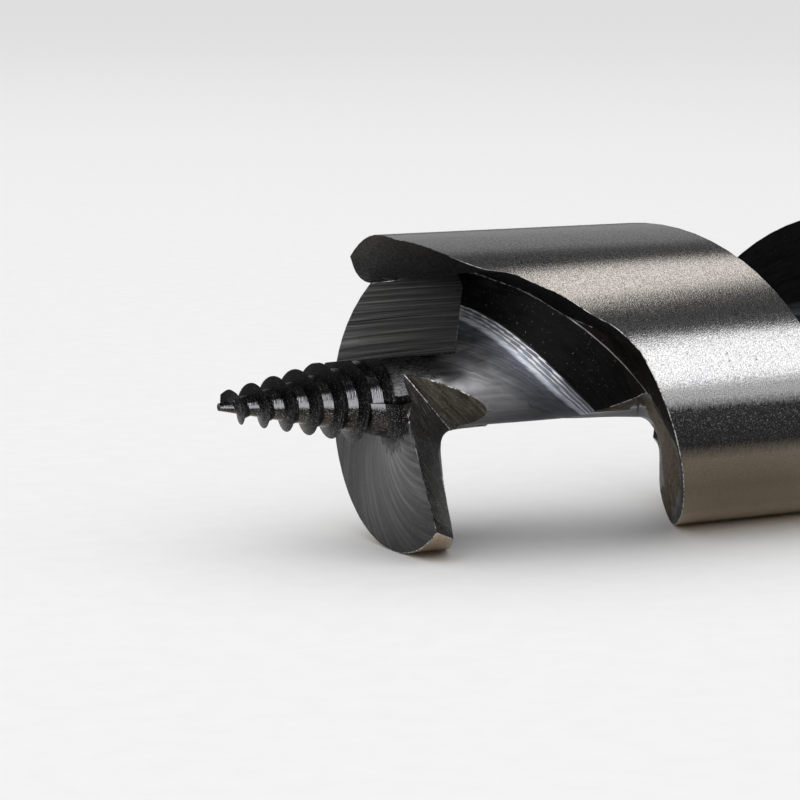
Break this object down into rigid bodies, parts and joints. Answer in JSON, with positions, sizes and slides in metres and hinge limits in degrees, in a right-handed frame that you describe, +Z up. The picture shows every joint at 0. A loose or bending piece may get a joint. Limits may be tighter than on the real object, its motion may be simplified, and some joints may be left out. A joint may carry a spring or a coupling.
{
  "type": "auger drill bit",
  "caption": "Auger bit for boring deep holes in wood: lead screw, single cutting lip and spur, open spiral flute on a thin core, round neck and hexagon end.",
  "frame": {"origin": "centre of the bounding box on the plane the bit lies on", "axes": "+X along the bit's axis from the lead screw to the hexagon end, +Z up, axis 15 mm above the origin"},
  "size_m": [0.235, 0.03, 0.03],
  "materials": {
    "tool_steel": "ground land, darker forged and milled flute, burred edges"
  },
  "bodies": {
    "root": {"auger_bit": "tool_steel"}
  },
  "joints": []
}
